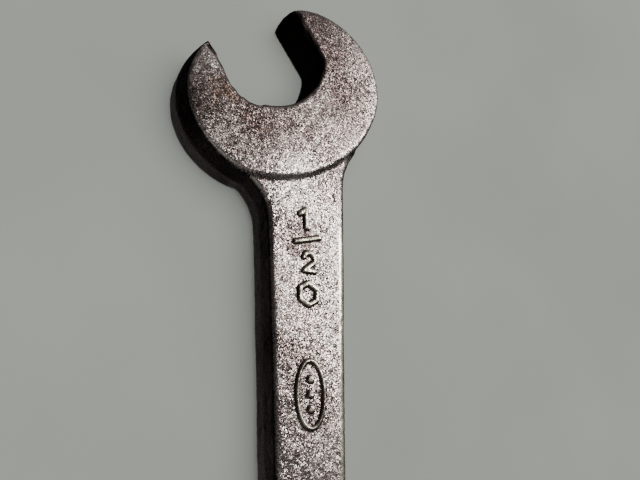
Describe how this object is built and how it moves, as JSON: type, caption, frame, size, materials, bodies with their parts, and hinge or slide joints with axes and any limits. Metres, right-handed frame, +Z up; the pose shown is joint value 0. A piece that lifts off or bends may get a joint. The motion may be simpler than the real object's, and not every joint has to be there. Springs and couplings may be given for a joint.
{
  "type": "combination wrench",
  "caption": "Forged steel combination wrench with a leaning open jaw, a waisted flat shank with raised marks and a twelve-point ring.",
  "frame": {"origin": "centre of the nut held in the open jaw, at the plane of the heads' back faces, which rest on the bench", "axes": "+X along the shank towards the open end, +Y to the left of the shank, the side that the mouth leans to, +Z up from the bench through the marked face"},
  "size_m": [0.2418, 0.0448, 0.0112],
  "materials": {
    "forged_steel": "dark worn drop-forged steel, rough and pitted, brighter where handled, with traces of rust"
  },
  "bodies": {
    "root": {"open_end_head": "forged_steel", "shank": "forged_steel", "ring_end_head": "forged_steel"}
  },
  "joints": []
}
